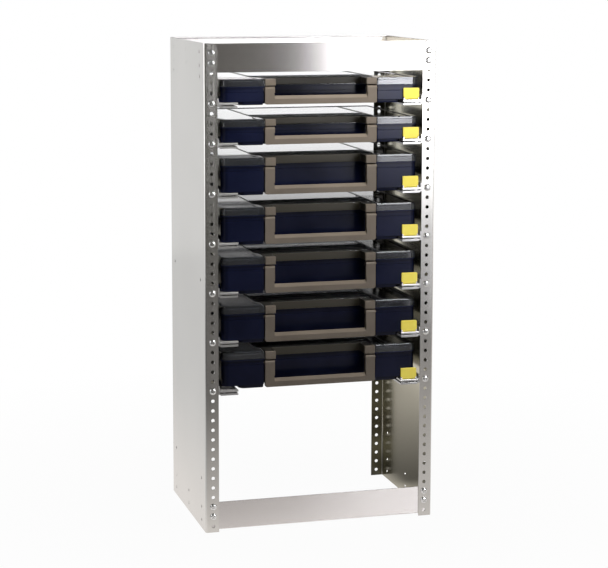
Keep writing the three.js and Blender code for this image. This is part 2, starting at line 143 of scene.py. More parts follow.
# Cases
case_drop = 6 * mm
case_corner = 14 * mm
case_wall = 2.5 * mm
rim_width = 1.5 * mm
rim_height = 3 * mm
keel_setback = 1 * mm
groove_drop = 12 * mm
groove_depth = 0.7 * mm
groove_half = 0.5 * mm
groove_reach = 1 * mm
notch_half = 118.5 * mm
recess_depth = 38 * mm
lid_height = 15 * mm
lid_panel_inset = 14 * mm
lid_panel_depth = 1.1 * mm
lid_edge = 1.2 * mm
lid_collar_height = 4.5 * mm
lid_collar_inset = 1.2 * mm
lid_rib = 1.4 * mm
lid_window_half = 122 * mm
grip_pitch = 4 * mm
grip_width = 1.1 * mm
lid_window_depth = 80 * mm
lid_cross_ribs = (0.12, 0.5, 0.9)
knuckle_radius = 2.5 * mm
knuckle_length = 22 * mm
hinge_inset = 80 * mm
latch_block = 22 * mm
latch_plate = 3 * mm
handle_bar = 20 * mm
handle_bottom_bar = 17 * mm
handle_thickness = 8 * mm
eye_radius = 6 * mm
pin_radius = 2 * mm
slope_height = 6 * mm
slope_depth = 5 * mm
slope_width = 1.5 * mm
slope_overrun = 1 * mm
moulded_steps = 5
least_corner = 2.5 * mm
notch_corner = 1.2 * mm
notch_back_corner = 2 * mm
keel_gap = 2 * mm
hinge_gap = 0.3 * mm
leaf_width = 4 * mm
knuckle_sides = 18
rib_sink = 0.1 * mm
grip_low = 1 * mm
grip_gap = 0.8 * mm
grip_root = 0.5 * mm
window_depth_gap = 0.2 * mm
window_least_area = 0.0004
level_share = 0.5
rib_reach = 0.6
latch_corner = 1.5 * mm
latch_inner_corner = 1 * mm
latch_edge = 0.6 * mm
handle_corner = 4 * mm
handle_inner_corner = 2.5 * mm
handle_edge = 0.7 * mm
eye_sides = 32
pin_sides = 16
pin_root = 5 * mm

# Small edges of the bases and the lids
keel_edge = 2 * mm
keel_edge_inset = 0.7 * mm
keel_edge_rise = 0.5 * mm
keel_flare = 0.15 * mm
keel_flare_drop = 0.3 * mm
step_edge = 1.2 * mm
step_edge_inset = 0.9 * mm
step_edge_middle = 0.25 * mm
step_edge_rise = 0.4 * mm
rim_edge = 0.4 * mm
rim_edge_inset = 0.3 * mm
rim_top_drop = 0.1 * mm
lid_foot = 0.2 * mm
lid_foot_inset = 0.3 * mm
lid_foot_edge = 0.5 * mm
lid_inner_overlap = 2 * mm
lid_panel_slope = 1 * mm
lid_edge_share = 0.3
shoulder_edge = 0.4 * mm
collar_foot = 0.2 * mm
collar_foot_rise = 0.3 * mm

# Screws
screw_radius = 7 * mm
screw_height = 3.6 * mm
screw_dome = ((0.45, 0.98), (0.72, 0.86), (0.9, 0.62), (1.0, 0.25), (1.0, 0.0))
cross_width = 1.5 * mm
cross_length = 7.4 * mm
cross_depth = 1.8 * mm
cross_rise = 1 * mm
screw_sides = 28
screw_edge = 0.15 * mm

rows = [1, 2, 3, 4, 5, 6, 7]


# Drawing tools
def rounded(corners, steps):
    """A closed outline from corners (x, y, radius)."""
    points = []
    for index, (x, y, radius) in enumerate(corners):
        corner = Vector((x, y))
        if radius <= 0:
            points.append(corner)
            continue
        before = (Vector(corners[index - 1][:2]) - corner).normalized()
        after = (Vector(corners[(index + 1) % len(corners)][:2]) - corner).normalized()
        half = before.angle(after) / 2
        centre = corner + (before + after).normalized() * radius / math.sin(half)
        start = corner + before * radius / math.tan(half) - centre
        end = corner + after * radius / math.tan(half) - centre
        first = math.atan2(start.y, start.x)
        turn = (math.atan2(end.y, end.x) - first + math.pi) % math.tau - math.pi
        for step in range(steps + 1):
            angle = first + turn * step / steps
            points.append(centre + radius * Vector((math.cos(angle), math.sin(angle))))
    return points


def along(axis, point, place):
    """A point of an outline, taken to its place along the axis that the outline is pushed along."""
    u, v = point
    if axis == "X":
        return Vector((place, u, v))
    if axis == "Y":
        return Vector((u, place, v))
    return Vector((u, v, place))


def add_rings(bm, rings):
    """Joins rings of points with faces, and closes the first and the last."""
    loops = [[bm.verts.new(point) for point in ring] for ring in rings]
    for lower, upper in zip(loops, loops[1:]):
        for index in range(len(lower)):
            following = (index + 1) % len(lower)
            bm.faces.new([lower[index], lower[following], upper[following], upper[index]])
    bm.faces.new(list(reversed(loops[0])))
    bm.faces.new(loops[-1])
    return bm


def add_prism(bm, outline, axis, low, high):
    return add_rings(bm, [[along(axis, point, place) for point in outline] for place in (low, high)])


def add_block(bm, low, high):
    outline = [(low[0], low[1]), (high[0], low[1]), (high[0], high[1]), (low[0], high[1])]
    return add_prism(bm, outline, "Z", low[2], high[2])


def circle(centre, radius, sides):
    """The corners of a regular outline around a centre."""
    turns = [math.tau * step / sides for step in range(sides)]
    return [(centre[0] + radius * math.cos(a), centre[1] + radius * math.sin(a)) for a in turns]


def sided(side, corners):
    """Rounded corners drawn for the right side, taken to either side."""
    return [(side * x, y, radius) for x, y, radius in corners]


def mesh_from(bm, name):
    bmesh.ops.recalc_face_normals(bm, faces=bm.faces)
    mesh = bpy.data.meshes.new(name)
    bm.to_mesh(mesh)
    bm.free()
    return mesh


def solid(name, outline, axis, low, high):
    return mesh_from(add_prism(bmesh.new(), outline, axis, low, high), name)


def new_object(name, mesh):
    obj = bpy.data.objects.new(name, mesh)
    bpy.context.scene.collection.objects.link(obj)
    return obj


def applied(obj):
    """The mesh of an object after its modifiers, with the object taken away."""
    graph = bpy.context.evaluated_depsgraph_get()
    mesh = bpy.data.meshes.new_from_object(obj.evaluated_get(graph))
    bpy.data.objects.remove(obj)
    return mesh


def combined(name, base, tools, operation):
    """One mesh from a base mesh and tool meshes, by exact booleans."""
    body = new_object(name, base)
    helpers = []
    for tool in tools:
        helper = new_object(name + "_tool", tool)
        step = body.modifiers.new("boolean", "BOOLEAN")
        step.operation = operation
        step.solver = "EXACT"
        step.object = helper
        helpers.append(helper)
    mesh = applied(body)
    for helper in helpers:
        bpy.data.objects.remove(helper)
    return mesh


def soften(mesh, width, segments, angle):
    """Rounds every edge of a mesh that is sharper than the angle."""
    obj = new_object("soften", mesh)
    bevel = obj.modifiers.new("bevel", "BEVEL")
    bevel.width = width
    bevel.segments = segments
    bevel.limit_method = "ANGLE"
    bevel.angle_limit = math.radians(angle)
    return applied(obj)


def raised(mesh, height):
    copy = mesh.copy()
    copy.transform(Matrix.Translation((0, 0, height)))
    return copy


def mark_faces(mesh, name, share, chosen):
    """Keeps a share on the chosen faces of a mesh, for its material to read."""
    mark = mesh.attributes.new(name, "FLOAT", "FACE")
    for index, polygon in enumerate(mesh.polygons):
        mark.data[index].value = share if chosen(polygon) else 0.0
    return mesh


def flat_shaded_walls(mesh):
    """Lets the large faces keep their own shading, so that only the small faces between them look rounded."""
    obj = new_object("walls", mesh)
    weighing = obj.modifiers.new("weighing", "WEIGHTED_NORMAL")
    weighing.keep_sharp = True
    weighing.weight = wall_weight
    return applied(obj)


def make_piece(name, mesh, material, body, nodes=()):
    """Puts a mesh into the scene as a piece that rides on a body and stands for its nodes."""
    mesh.name = name
    mesh.materials.clear()
    mesh.materials.append(material)
    mesh.shade_smooth()
    mesh.set_sharp_from_angle(angle=math.radians(smooth_angle))
    obj = new_object(name, flat_shaded_walls(mesh))
    obj.data.name = name
    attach(obj, body)
    if nodes:
        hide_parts(*nodes)
    return obj


# Shader values
noise_middle = (0.35, 0.65)
noise_spread = (0.3, 0.7)
fine_share, broad_share = 0.65, 0.35
broad_scale = 0.17
cloud_scale = 5.0
mould_cloud_scale = 14.0
clear_grain = 35.0
worn_lean = (0.995, 0.85)
patch_scale = 160.0
patch_range = (0.42, 0.62)
patch_least = 0.2
wear_samples = 4
metal_wear_radius = 0.8 * mm
plastic_wear_radius = 0.6 * mm
line_share, cloud_share = 0.6, 0.4
# The bends' painted highlight dims lower down, as their reflection does
bend_highlight_height = (0.25, 0.8)
bend_highlight_low = 0.35
metal_bump, metal_bump_distance = 0.02, 0.02 * mm
plastic_bump_distance = 0.04 * mm
clear_bump, clear_bump_distance = 0.03, 0.2 * mm
plastic_unevenness = (0.04, 0.05)
clear_unevenness = 0.04
recess_shade_fade = 3 * mm
lid_transmission = 0.93
# A painted highlight colour for the bends
bend_highlight_colour = (0.75, 0.74, 0.72)
# A painted reflection tint for the side panels' inner faces
inner_face_reflection_colour = (0.63, 0.6, 0.48)
# A painted shade colour for undersides and the back flanges' front faces
painted_shade_colour = (0.13, 0.125, 0.09)


# Shader tools
def group_tree(name, inputs, outputs):
    tree = bpy.data.node_groups.new(name, "ShaderNodeTree")
    for label, kind, value in inputs:
        socket = tree.interface.new_socket(name=label, in_out="INPUT", socket_type=kind)
        if value is not None:
            socket.default_value = value
    for label, kind in outputs:
        tree.interface.new_socket(name=label, in_out="OUTPUT", socket_type=kind)
    return tree, tree.nodes.new("NodeGroupInput"), tree.nodes.new("NodeGroupOutput")


def set_inputs(tree, node, values):
    """Sets each input of a node to a value, or links it to an output."""
    for label, value in values.items():
        if isinstance(value, bpy.types.NodeSocket):
            tree.links.new(value, node.inputs[label])
        else:
            node.inputs[label].default_value = value


def add_node(tree, kind, inputs=None, **settings):
    node = tree.nodes.new(kind)
    for label, value in settings.items():
        setattr(node, label, value)
    set_inputs(tree, node, inputs or {})
    return node


def math_node(tree, operation, first, second=None, clamp=False):
    inputs = {0: first} if second is None else {0: first, 1: second}
    return add_node(tree, "ShaderNodeMath", inputs, operation=operation, use_clamp=clamp).outputs[0]


def times(tree, first, second):
    return math_node(tree, "MULTIPLY", first, second)


def minus(tree, first, second):
    return math_node(tree, "SUBTRACT", first, second)


def distance_from(tree, value, middle):
    return math_node(tree, "ABSOLUTE", minus(tree, value, middle))


def axes_of(tree, place):
    """The X, Y and Z of a place."""
    return add_node(tree, "ShaderNodeSeparateXYZ", {0: place}).outputs


def noise(tree, vector, scale, detail, roughness=0.5):
    inputs = {"Vector": vector, "Scale": scale, "Detail": detail, "Roughness": roughness}
    return add_node(tree, "ShaderNodeTexNoise", inputs).outputs[0]


def ranged(tree, value, low, high, to_low=0.0, to_high=1.0):
    inputs = {"Value": value, "From Min": low, "From Max": high, "To Min": to_low, "To Max": to_high}
    return add_node(tree, "ShaderNodeMapRange", inputs).outputs[0]


def blended(tree, mask, first, second):
    first, second = [(*value, 1) if isinstance(value, tuple) else value for value in (first, second)]
    return add_node(tree, "ShaderNodeMix", {0: mask, 6: first, 7: second}, data_type="RGBA").outputs[2]


def brushed_lines_group():
    """Fine lines left by brushing: the pattern is stretched along the brushing."""
    inputs = [("Vector", "NodeSocketVector", None), ("Stretch", "NodeSocketVector", (1.0, 1.0, 1.0))]
    outputs = [("Lines", "NodeSocketFloat"), ("Clouds", "NodeSocketFloat")]
    tree, start, end = group_tree("brushed_lines", inputs, outputs)
    place = start.outputs["Vector"]
    stretched = add_node(tree, "ShaderNodeVectorMath", {0: place, 1: start.outputs["Stretch"]},
                         operation="MULTIPLY").outputs[0]
    fine = noise(tree, stretched, 1.0, detail=5, roughness=0.7)
    broad = times(tree, noise(tree, stretched, broad_scale, detail=2), broad_share)
    lines = add_node(tree, "ShaderNodeMath", {0: fine, 1: fine_share, 2: broad}, operation="MULTIPLY_ADD")
    tree.links.new(lines.outputs[0], end.inputs["Lines"])
    tree.links.new(noise(tree, place, cloud_scale, detail=2), end.inputs["Clouds"])
    return tree


def edge_wear_group():
    """A mask of the edges that hands and other parts rub, from how far a bevelled normal leans."""
    inputs = [("Vector", "NodeSocketVector", None), ("Radius", "NodeSocketFloat", 0.001)]
    tree, start, end = group_tree("edge_wear", inputs, [("Mask", "NodeSocketFloat")])
    bevel = add_node(tree, "ShaderNodeBevel", {"Radius": start.outputs["Radius"]}, samples=wear_samples)
    normal = add_node(tree, "ShaderNodeNewGeometry").outputs["Normal"]
    dot = add_node(tree, "ShaderNodeVectorMath", {0: bevel.outputs[0], 1: normal}, operation="DOT_PRODUCT")
    lean = ranged(tree, dot.outputs["Value"], *worn_lean)
    patches = noise(tree, start.outputs["Vector"], patch_scale, detail=4)
    broken = math_node(tree, "MULTIPLY", lean, ranged(tree, patches, *patch_range, patch_least), clamp=True)
    tree.links.new(broken, end.inputs["Mask"])
    return tree


def moulded_grain_group():
    """The fine spark-eroded grain of a moulding, with soft flow clouds."""
    inputs = [("Vector", "NodeSocketVector", None), ("Grain", "NodeSocketFloat", 900.0)]
    outputs = [("Height", "NodeSocketFloat"), ("Clouds", "NodeSocketFloat")]
    tree, start, end = group_tree("moulded_grain", inputs, outputs)
    place, grain = start.outputs["Vector"], start.outputs["Grain"]
    tree.links.new(noise(tree, place, grain, detail=2), end.inputs["Height"])
    tree.links.new(noise(tree, place, mould_cloud_scale, detail=3), end.inputs["Clouds"])
    return tree


groups = {"lines": brushed_lines_group(), "wear": edge_wear_group(), "grain": moulded_grain_group()}


def new_material(name):
    material = bpy.data.materials.new(name)
    material.use_nodes = True
    tree = material.node_tree
    shader = tree.nodes["Principled BSDF"]
    place = tree.nodes.new("ShaderNodeTexCoord").outputs["Object"]
    return material, tree, shader, place


def use_group(tree, key, place, values):
    return add_node(tree, "ShaderNodeGroup", {"Vector": place, **values}, node_tree=groups[key])


def add_bump(tree, shader, height, strength, distance):
    bump = add_node(tree, "ShaderNodeBump", {"Strength": strength, "Distance": distance, "Height": height})
    tree.links.new(bump.outputs[0], shader.inputs["Normal"])


def face_mask(tree, name):
    """A share that is kept on the faces of a mesh: nothing where the mesh lacks it."""
    return add_node(tree, "ShaderNodeAttribute", attribute_name=name).outputs["Fac"]


# Materials
def brushed_metal(name, colour, dark, stretch, roughness, anisotropy, turn, wear_colour, unevenness=0.05,
                  metallic=1.0):
    """Sheet metal: brushing lines, slow clouds and brighter rubbed edges. It also carries painted light: a
    painted highlight on the bends, a painted reflection tint on marked inner faces, and painted shade on
    marked faces.
    """
    material, tree, shader, place = new_material(name)
    surface = use_group(tree, "lines", place, {"Stretch": stretch})
    lines, clouds = surface.outputs["Lines"], surface.outputs["Clouds"]
    wear = use_group(tree, "wear", place, {"Radius": metal_wear_radius})
    tone = math_node(tree, "ADD", ranged(tree, lines, *noise_spread, 0.0, line_share),
                     ranged(tree, clouds, *noise_middle, 0.0, cloud_share), clamp=True)
    rubbed = blended(tree, wear.outputs["Mask"], blended(tree, tone, dark, colour), wear_colour)
    height = axes_of(tree, place)["Z"]
    # Painted highlight: bend faces are painted brighter, less so lower down.
    bend_highlight_share = times(tree, face_mask(tree, "bend"), ranged(tree, height, *bend_highlight_height, bend_highlight_low))
    bent = blended(tree, bend_highlight_share, rubbed, bend_highlight_colour)
    # Painted reflection tint on the marked inner faces.
    lined = blended(tree, face_mask(tree, "inside"), bent, inner_face_reflection_colour)
    tangent = add_node(tree, "ShaderNodeTangent", direction_type="RADIAL", axis="Z")
    set_inputs(tree, shader, {
        # Painted shade: marked faces are blended towards a dark colour.
        "Base Color": blended(tree, face_mask(tree, "dull"), lined, painted_shade_colour),
        "Roughness": ranged(tree, lines, *noise_spread, roughness - unevenness, roughness + unevenness),
        "Metallic": metallic, "Anisotropic": anisotropy, "Anisotropic Rotation": turn,
        "Tangent": tangent.outputs[0],
    })
    add_bump(tree, shader, lines, metal_bump, metal_bump_distance)
    return material


def moulded_plastic(name, colour, shade, roughness, grain, bump, wear_colour, shine, glow=0.0, inner=None):
    """Moulded plastic: fine grain, flow clouds and paler rubbed edges.

    inner is a depth, and the colour of painted shade on everything behind it. It stands in for the shade in
    the recess behind the latch's blocks.
    """
    material, tree, shader, place = new_material(name)
    surface = use_group(tree, "grain", place, {"Grain": grain})
    clouds = surface.outputs["Clouds"]
    wear = use_group(tree, "wear", place, {"Radius": plastic_wear_radius})
    painted = blended(tree, ranged(tree, clouds, *noise_middle), shade, colour)
    rubbed = blended(tree, wear.outputs["Mask"], painted, wear_colour)
    # Painted shade: everything behind the depth takes a dark colour, because the recess lies in shade.
    if inner:
        depth, recess_shade_colour = inner
        behind = ranged(tree, axes_of(tree, place)["Y"], depth - recess_shade_fade, depth + recess_shade_fade)
        rubbed = blended(tree, behind, rubbed, recess_shade_colour)
    smoother, rougher = plastic_unevenness
    set_inputs(tree, shader, {
        "Base Color": rubbed, "Specular IOR Level": shine,
        "Roughness": ranged(tree, clouds, *noise_spread, roughness - smoother, roughness + rougher),
    })
    # Painted light: the moulding glows in its own colour, as if more brightly lit.
    if glow > 0:
        set_inputs(tree, shader, {"Emission Color": (*colour, 1), "Emission Strength": glow})
    add_bump(tree, shader, surface.outputs["Height"], bump, plastic_bump_distance)
    return material


def clear_plastic(name, tint, deep_tint, roughness, ior):
    """Tinted clear moulding with a faint waviness."""
    material, tree, shader, place = new_material(name)
    surface = use_group(tree, "grain", place, {"Grain": clear_grain})
    clouds = surface.outputs["Clouds"]
    set_inputs(tree, shader, {
        "Base Color": blended(tree, ranged(tree, clouds, *noise_middle), deep_tint, tint),
        "Roughness": ranged(tree, clouds, *noise_spread, roughness, roughness + clear_unevenness),
        "Transmission Weight": lid_transmission, "IOR": ior,
    })
    add_bump(tree, shader, surface.outputs["Height"], clear_bump, clear_bump_distance)
    return material


taupe_look = {
    "colour": (0.2, 0.166, 0.132), "shade": (0.17, 0.141, 0.112), "roughness": 0.42, "grain": 1100.0,
    "bump": 0.12, "wear_colour": (0.3, 0.26, 0.22), "shine": 0.3,
}
materials = {
    "panel": brushed_metal(
        "brushed_panel_sheet", colour=(0.6, 0.588, 0.565), dark=(0.54, 0.528, 0.505), stretch=(700, 700, 6),
        roughness=0.18, anisotropy=0.4, turn=0.0, wear_colour=(0.7, 0.69, 0.68)),
    "rail": brushed_metal(
        "brushed_rail_sheet", colour=(0.625, 0.6, 0.59), dark=(0.605, 0.58, 0.57), stretch=(6, 700, 700),
        roughness=0.25, anisotropy=0.97, turn=0.25, wear_colour=(0.7, 0.69, 0.68), unevenness=0.02),
    "zinc": brushed_metal(
        "zinc_plated_steel", colour=(0.72, 0.715, 0.715), dark=(0.6, 0.595, 0.595), stretch=(300, 12, 300),
        roughness=0.2, anisotropy=0.3, turn=0.25, wear_colour=(0.85, 0.84, 0.83), metallic=0.6),
    "screw": brushed_metal(
        "zinc_screw", colour=(0.75, 0.745, 0.74), dark=(0.62, 0.62, 0.61), stretch=(400, 400, 400),
        roughness=0.16, anisotropy=0.0, turn=0.0, wear_colour=(0.85, 0.85, 0.85)),
    "navy": moulded_plastic(
        "navy_moulding", colour=(0.0065, 0.0095, 0.036), shade=(0.005, 0.0075, 0.029), roughness=0.2,
        grain=900.0, bump=0.05, wear_colour=(0.014, 0.019, 0.055), shine=0.18),
    "clear": clear_plastic(
        "clear_lid_moulding", tint=(0.36, 0.38, 0.43), deep_tint=(0.31, 0.33, 0.38), roughness=0.03, ior=1.6),
    "window": clear_plastic(
        "frosted_lid_window", tint=(0.24, 0.24, 0.23), deep_tint=(0.18, 0.18, 0.17), roughness=0.3, ior=1.0),
    "taupe": moulded_plastic("taupe_moulding", **taupe_look),
    # The latch's plate, and everything behind its front blocks, is painted dark as shade.
    "latch": moulded_plastic(
        "taupe_latch_moulding", **taupe_look, inner=(-156 * mm, (0.03, 0.026, 0.017))),
    # The yellow stops glow a little, as painted light.
    "yellow": moulded_plastic(
        "yellow_moulding", colour=(0.95, 0.8, 0.11), shade=(0.9, 0.74, 0.09), roughness=0.4, grain=900.0,
        bump=0.08, wear_colour=(0.98, 0.88, 0.35), shine=0.5, glow=0.25),
}


# Geometry Nodes: round holes in a flat sheet, and a fastener on each of a set of points
def geometry_tree(name, inputs):
    tree = bpy.data.node_groups.new(name, "GeometryNodeTree")
    tree.interface.new_socket(name="Geometry", in_out="INPUT", socket_type="NodeSocketGeometry")
    for label, kind in inputs:
        tree.interface.new_socket(name=label, in_out="INPUT", socket_type=kind)
    tree.interface.new_socket(name="Geometry", in_out="OUTPUT", socket_type="NodeSocketGeometry")
    return tree, tree.nodes.new("NodeGroupInput"), tree.nodes.new("NodeGroupOutput")


def loose_points(tree):
    """Picks the vertices that no edge joins: they mark the middle of a hole or a fastener."""
    count = add_node(tree, "GeometryNodeInputMeshVertexNeighbors").outputs["Vertex Count"]
    alone = add_node(tree, "FunctionNodeCompare", {"A": count}, data_type="INT", operation="EQUAL")
    return alone.outputs["Result"]


def perforated_sheet_tree():
    tree, start, end = geometry_tree("perforated_sheet", [
        ("Radius", "NodeSocketFloat"), ("Sides", "NodeSocketInt"), ("Material", "NodeSocketMaterial")])
    sheet = start.outputs["Geometry"]
    hole = add_node(tree, "GeometryNodeCurvePrimitiveCircle",
                    {"Radius": start.outputs["Radius"], "Resolution": start.outputs["Sides"]})
    copies = add_node(tree, "GeometryNodeInstanceOnPoints",
                      {"Points": sheet, "Selection": loose_points(tree), "Instance": hole.outputs["Curve"]})
    rim = add_node(tree, "GeometryNodeMeshToCurve", {"Mesh": sheet})
    both = add_node(tree, "GeometryNodeJoinGeometry", {0: copies.outputs["Instances"]})
    tree.links.new(rim.outputs["Curve"], both.inputs[0])
    loose = add_node(tree, "GeometryNodeRealizeInstances", {0: both.outputs[0]})
    filled = add_node(tree, "GeometryNodeFillCurve", {"Curve": loose.outputs[0]})
    return finish_tree(tree, start, end, filled.outputs[0])


def finish_tree(tree, start, end, geometry):
    """Ends a tree in Realize Instances and Set Material."""
    real = add_node(tree, "GeometryNodeRealizeInstances", {0: geometry})
    coat = add_node(tree, "GeometryNodeSetMaterial",
                    {"Geometry": real.outputs[0], "Material": start.outputs["Material"]})
    tree.links.new(coat.outputs[0], end.inputs["Geometry"])
    return tree


def fastener_tree():
    tree, start, end = geometry_tree("fasteners", [
        ("Fastener", "NodeSocketObject"), ("Material", "NodeSocketMaterial")])
    source = add_node(tree, "GeometryNodeObjectInfo", {"Object": start.outputs["Fastener"]})
    copies = add_node(tree, "GeometryNodeInstanceOnPoints",
                      {"Points": start.outputs["Geometry"], "Instance": source.outputs["Geometry"]})
    return finish_tree(tree, start, end, copies.outputs["Instances"])


def run_tree(mesh, tree, values):
    """The mesh that a tree makes of another, with its inputs set by their identifiers."""
    obj = new_object(tree.name, mesh)
    modifier = obj.modifiers.new(tree.name, "NODES")
    modifier.node_group = tree
    for item in tree.interface.items_tree:
        if item.in_out == "INPUT" and item.name in values:
            modifier[item.identifier] = values[item.name]
    return applied(obj)


perforate = perforated_sheet_tree()
fasten = fastener_tree()


# Side panels
def hole_heights():
    top = cad_box[1][2] - first_hole_drop
    count = int((top - hole_margin) / hole_pitch) + 1
    return [top - hole_pitch * index for index in range(count)]


def flat_mesh(outline, centres):
    bm = bmesh.new()
    edge = [bm.verts.new((*point, 0)) for point in outline]
    for index in range(len(edge)):
        bm.edges.new([edge[index - 1], edge[index]])
    for x, y in centres:
        bm.verts.new((x, y, 0))
    mesh = bpy.data.meshes.new("flat")
    bm.to_mesh(mesh)
    bm.free()
    return mesh


def add_sheet(bm, outline, centres, radius, place):
    """Adds a flat sheet with round holes, and folds its points into space with place."""
    flat = run_tree(flat_mesh(outline, centres), perforate,
                    {"Radius": radius, "Sides": hole_sides, "Material": materials["panel"]})
    verts = [bm.verts.new(place(vert.co.x, vert.co.y)) for vert in flat.vertices]
    for polygon in flat.polygons:
        bm.faces.new([verts[index] for index in polygon.vertices])
    bpy.data.meshes.remove(flat)


def face_holes(back, front, top):
    outer = [front + face_column_inset, back - face_column_inset]
    every = [*outer, (front + back) / 2]
    nearest = top - face_row_inset
    levels = [
        (every, nearest), (every, nearest - face_row_pitch), (outer, top - upper_pair_drop),
        (outer, top * middle_pair_share), (outer, lower_pair_rise),
        (every, face_row_inset + face_row_pitch), (every, face_row_inset),
    ]
    return [(y, z) for ys, z in levels for y in ys]


def side_panel(name, node, side):
    low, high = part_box(node)
    outer = side * max(abs(low[0]), abs(high[0]))
    edge = side * min(abs(low[0]), abs(high[0]))
    flat_x = outer - side * panel_bend
    front, back, top = low[1], high[1], high[2]
    hole_x = outer - side * hole_inset
    bm = bmesh.new()
    flange = rounded([(edge, 0, 0), (flat_x, 0, 0), (flat_x, top, 0), (edge, top, flange_corner)],
                     corner_steps)
    centres = [(hole_x, z) for z in hole_heights()]
    for y in (front, back):
        add_sheet(bm, flange, centres, hole_radius, lambda x, z, y=y: (x, y, z))
    near, far = front + panel_bend, back - panel_bend
    web = [(near, 0), (far, 0), (far, top), (near, top)]
    add_sheet(bm, web, face_holes(back, front, top), face_hole_radius, lambda y, z: (outer, y, z))
    for y, inward in ((front, 1), (back, -1)):
        bend = []
        for step in range(bend_steps + 1):
            angle = math.pi / 2 * step / bend_steps
            x = flat_x + side * panel_bend * math.sin(angle)
            bend.append((x, y + inward * panel_bend * (1 - math.cos(angle))))
        columns = [[bm.verts.new((x, place, z)) for z in (0, top)] for x, place in bend]
        for first, second in zip(columns, columns[1:]):
            bm.faces.new([first[0], second[0], second[1], first[1]])
    bmesh.ops.remove_doubles(bm, verts=bm.verts, dist=weld_distance)
    bmesh.ops.recalc_face_normals(bm, faces=bm.faces)
    centre_face = min(bm.faces, key=lambda face: abs(face.calc_center_median().x - outer))
    if centre_face.normal.x * side < 0:
        bmesh.ops.reverse_faces(bm, faces=bm.faces)
    mesh = bpy.data.meshes.new(name)
    bm.to_mesh(mesh)
    bm.free()
    shell = new_object(name, mesh)
    wall = shell.modifiers.new("wall", "SOLIDIFY")
    wall.thickness = sheet_thickness
    wall.offset = -1
    wall.use_even_offset = True
    mesh = soften(applied(shell), sheet_edge, 1, sheet_edge_angle)
    # Painted highlight on the bends
    mark_faces(mesh, "bend", 1.0, lambda face: min(abs(face.normal.x), abs(face.normal.y)) > bend_lean
               and abs(face.center.x) > abs(flat_x) - bend_reach)
    # Painted reflection tint on the web's inner face
    mark_faces(mesh, "inside", 1.0, lambda face: face.normal.x * side < -facing_share
               and abs(outer) - abs(face.center.x) < 2 * sheet_thickness)
    # Painted shade on the back flanges' front faces
    mark_faces(mesh, "dull", 1.0, lambda face: face.normal.y < -facing_share
               and face.center.y > back - 2 * sheet_thickness)
    return make_piece(name, mesh, materials["panel"], "rack", [node])


# Rails
def rail(name, node, inward, lip_up):
    low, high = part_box(node)
    face, top = (low[1], high[2]) if inward > 0 else (high[1], high[2])
    lip_z, free_z = (top, low[2]) if lip_up else (low[2], top)
    down = 1 if free_z > lip_z else -1
    inside = rail_bend - rail_thickness
    outline = rounded([
        (face, free_z, 0), (face, lip_z, rail_bend), (face + inward * rail_lip, lip_z, 0),
        (face + inward * rail_lip, lip_z + down * rail_thickness, 0),
        (face + inward * rail_thickness, lip_z + down * rail_thickness, inside),
        (face + inward * rail_thickness, free_z, 0),
    ], rail_bend_steps)
    mesh = solid(name, outline, "X", low[0], high[0])
    mesh = soften(mesh, sheet_edge, 1, sheet_edge_angle)
    return make_piece(name, mesh, materials["rail"], "rack", [node])


# Runner frames
def mirrored(low_x, high_x, side):
    return (low_x, high_x) if side > 0 else (-high_x, -low_x)


def painted_shade_below(mesh):
    """Marks the undersides for painted shade, as they see little but the dark below them."""
    return mark_faces(mesh, "dull", underside_shade_share, lambda face: face.normal.z < -facing_share)


def ledge_inner():
    """How far the ledges' inner edges lie from the middle of the rack."""
    return -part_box("side_panel_left")[1][0] - runner_width


def runner_frame_mesh():
    """A runner frame with its screw holes at zero height."""
    low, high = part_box("runner_frame_1")
    front, back = low[1], high[1]
    inner = ledge_inner()
    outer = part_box("tray_1")[1][0] + upright_gap + sheet_thickness
    ledge = -ledge_drop
    upright = tray_rise + upright_height
    bm = bmesh.new()
    for side in (-1, 1):
        profile = rounded(sided(side, [
            (inner, ledge - ledge_lip, 0), (inner + sheet_thickness, ledge - ledge_lip, 0),
            (inner + sheet_thickness, ledge - sheet_thickness, 0),
            (outer, ledge - sheet_thickness, fold_radius), (outer, upright, 0),
            (outer - sheet_thickness, upright, 0),
            (outer - sheet_thickness, ledge, 0), (inner, ledge, fold_radius),
        ]), fold_steps)
        add_prism(bm, profile, "Y", front, back)
        xs = mirrored(inner + fold_radius, outer - ledge_lip, side)
        add_prism(bm, rounded([
            (front, ledge - ledge_lip, 0), (front + sheet_thickness, ledge - ledge_lip, 0),
            (front + sheet_thickness, ledge - front_fold_drop, 0),
            (front, ledge - front_fold_drop, fold_radius),
        ], fold_steps), "X", *xs)
        near, far = mirrored(outer - sheet_thickness, high[0], side)
        ear = rounded([
            (near, -ear_half_height, ear_corner), (far, -ear_half_height, ear_corner),
            (far, ear_half_height, ear_corner), (near, ear_half_height, ear_corner),
        ], fold_steps)
        for ear_front in (front + ear_setback, back - ear_setback - sheet_thickness):
            add_prism(bm, ear, "Y", ear_front, ear_front + sheet_thickness)
    reach = inner + sheet_thickness / 2
    rack_back = cad_box[1][1]
    add_block(bm, (-reach, rack_back - tie_inset - tie_width, ledge - tie_step - sheet_thickness),
              (reach, rack_back - tie_inset, ledge - tie_step))
    return painted_shade_below(soften(mesh_from(bm, "runner_frame"), formed_edge, 2, formed_edge_angle))


